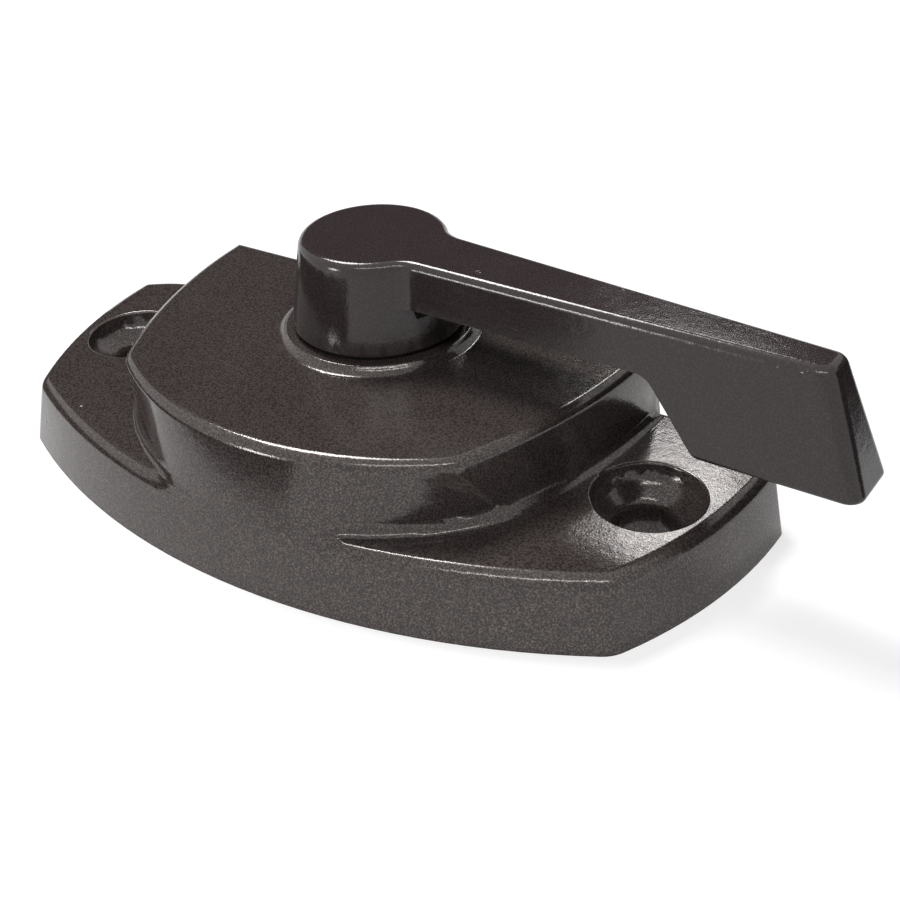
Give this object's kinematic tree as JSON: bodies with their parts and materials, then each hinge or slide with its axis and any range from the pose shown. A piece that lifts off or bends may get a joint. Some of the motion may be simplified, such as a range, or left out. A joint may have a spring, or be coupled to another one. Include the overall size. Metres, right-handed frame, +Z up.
{
  "type": "sliding window lock",
  "caption": "Sash window lock: a hollow boat-shaped base with a raised pad and two screw holes, and a tapered handle that swings a hooked cam out of the rear.",
  "frame": {"origin": "midway between the two screw holes, on the face that seats on the sash", "axes": "+X along the base towards the open handle's tip, +Y to the rear where the cam comes out, +Z up off the sash"},
  "size_m": [0.0764, 0.0304, 0.0202],
  "materials": {
    "bronze_paint_base": "satin dark bronze paint with a fine fleck",
    "bronze_paint_handle": "satin dark bronze paint with a fine fleck",
    "washer_plastic": "matt black",
    "cam_zinc": "bare zinc casting, dull grey",
    "spring_steel": "tempered spring steel",
    "plated_steel": "bright zinc plate"
  },
  "bodies": {
    "base": {"housing": "bronze_paint_base", "friction_washer": "washer_plastic", "detent_spring": "spring_steel"},
    "lever": {"handle": "bronze_paint_handle", "sweep_cam": "cam_zinc", "spring_washer": "spring_steel", "retaining_washer": "plated_steel", "cam_screw": "plated_steel"}
  },
  "joints": [
    {"name": "handle_turn", "type": "hinge", "parent": "base", "child": "lever", "pos_m": [0, 0.0034, 0], "axis": [0, 0, 1], "range_deg": [-180, 0], "deforming": ["detent_spring"]}
  ]
}
